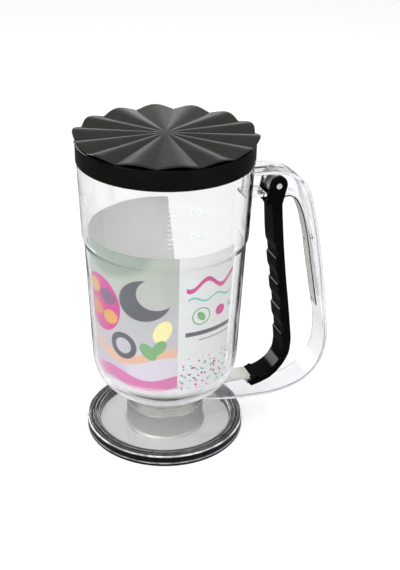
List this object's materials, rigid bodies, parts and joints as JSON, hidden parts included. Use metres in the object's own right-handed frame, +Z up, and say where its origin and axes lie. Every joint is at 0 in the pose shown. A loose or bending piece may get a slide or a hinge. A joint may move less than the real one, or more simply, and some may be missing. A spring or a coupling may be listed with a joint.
{
  "type": "batter dispenser",
  "caption": "Clear tapered batter jug with a fluted push-on lid, a sprung trigger in its handle that opens a gate valve under the outlet, and a round drip stand.",
  "frame": {"origin": "centre of the stand's foot, on the surface that it stands on and on the jug's axis", "axes": "+Z up along the jug's axis, +X from the jug towards the handle"},
  "size_m": [0.1719, 0.1128, 0.2084],
  "materials": {
    "clear_stand": "clear polished plastic",
    "grip_rubber": "dark matt rubber",
    "clear_jug": "clear polished plastic",
    "clear_valve": "clear plastic with a light haze",
    "silicone": "pale grey silicone",
    "valve_plastic": "milky translucent plastic",
    "printed_card": "matt printed card",
    "lid_gloss": "gloss black plastic",
    "lid_satin": "satin charcoal plastic",
    "clear_handle": "clear polished plastic",
    "steel": "bright spring steel",
    "trigger_gloss": "gloss black plastic"
  },
  "bodies": {
    "stand": {"stand_tray": "clear_stand", "stand_grip_ring": "grip_rubber", "stand_socket": "clear_stand"},
    "jug": {"jug_body": "clear_jug", "neck_ring": "clear_valve", "outlet_cover": "clear_valve", "outlet_seal": "silicone", "label_card": "printed_card", "handle": "clear_handle", "pivot_bush": "clear_handle", "leaf_spring": "steel", "spring_rivet_1": "steel", "spring_rivet_2": "steel"},
    "lid": {"lid_skirt": "lid_gloss", "lid_seal": "silicone", "lid_top": "lid_satin"},
    "trigger": {"trigger_lever": "trigger_gloss", "hinge_pin": "steel", "drive_pin": "steel"},
    "valve_slide": {"valve_plate": "valve_plastic"}
  },
  "joints": [
    {"name": "jug_lift", "type": "slide", "parent": "stand", "child": "jug", "axis": [0, 0, 1], "range_m": [0, 0.04]},
    {"name": "lid_lift", "type": "slide", "parent": "jug", "child": "lid", "axis": [0, 0, 1], "range_m": [0, 0.03]},
    {"name": "trigger_squeeze", "type": "hinge", "parent": "jug", "child": "trigger", "pos_m": [0.07263, 0, 0.1684], "axis": [0, -1, 0], "range_deg": [0, 8], "stiffness_Nm_per_rad": 2, "springref_deg": -8.59, "deforming": ["leaf_spring"]},
    {"name": "valve_travel", "type": "slide", "parent": "jug", "child": "valve_slide", "axis": [1, 0, 0], "range_m": [0, 0.0202]}
  ],
  "couplings": [
    {"joint": "valve_travel", "follows": "trigger_squeeze", "m_per_rad": 0.144}
  ]
}
